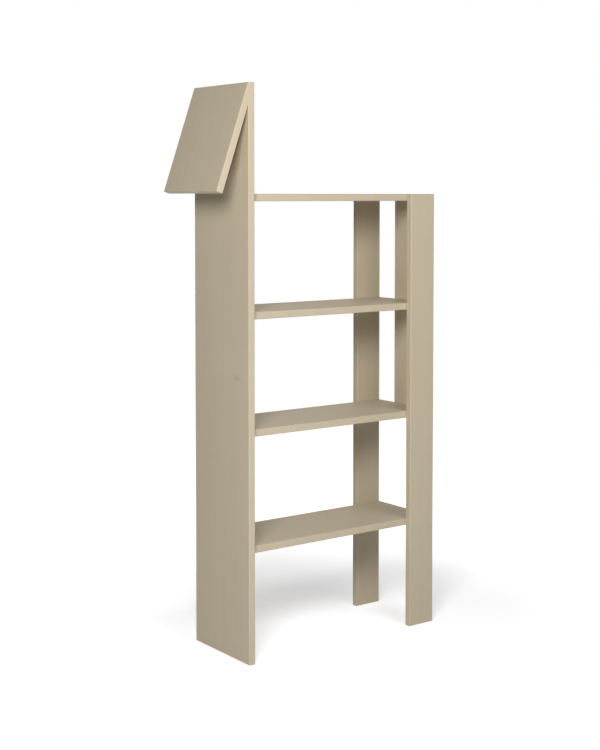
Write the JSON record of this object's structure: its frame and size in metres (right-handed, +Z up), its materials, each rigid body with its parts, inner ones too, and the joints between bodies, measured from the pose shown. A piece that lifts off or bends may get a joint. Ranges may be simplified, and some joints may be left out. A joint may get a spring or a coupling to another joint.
{
  "type": "giraffe-shaped bookshelf",
  "caption": "Tall open children's bookshelf with a giraffe outline: a high neck board with a slanted head, shelves to the side, slim legs and a short tail board.",
  "frame": {"origin": "on the floor, under the middle of the bookshelf's bounding box", "axes": "+X from the neck to the tail along the shelves, +Y from the front to the back, +Z up"},
  "size_m": [0.6974, 0.24, 1.4],
  "materials": {
    "lacquer": "matte warm beige-grey lacquer over wood, faint grain",
    "dowel_wood": "bare beech",
    "cam_zinc": "raw die-cast zinc alloy",
    "bolt_steel": "zinc-plated steel"
  },
  "bodies": {
    "root": {"neck_panel": "lacquer", "head_panel": "lacquer", "top_shelf": "lacquer", "upper_shelf": "lacquer", "middle_shelf": "lacquer", "lower_shelf": "lacquer", "front_leg": "lacquer", "rear_leg": "lacquer", "tail_board": "lacquer", "top_shelf_cams": "cam_zinc", "top_shelf_cam_bolts": "bolt_steel", "top_shelf_dowels": "dowel_wood", "upper_shelf_cams": "cam_zinc", "upper_shelf_cam_bolts": "bolt_steel", "upper_shelf_dowels": "dowel_wood", "middle_shelf_cams": "cam_zinc", "middle_shelf_cam_bolts": "bolt_steel", "middle_shelf_dowels": "dowel_wood", "lower_shelf_cams": "cam_zinc", "lower_shelf_cam_bolts": "bolt_steel", "lower_shelf_dowels": "dowel_wood", "head_dowels": "dowel_wood"}
  },
  "joints": []
}
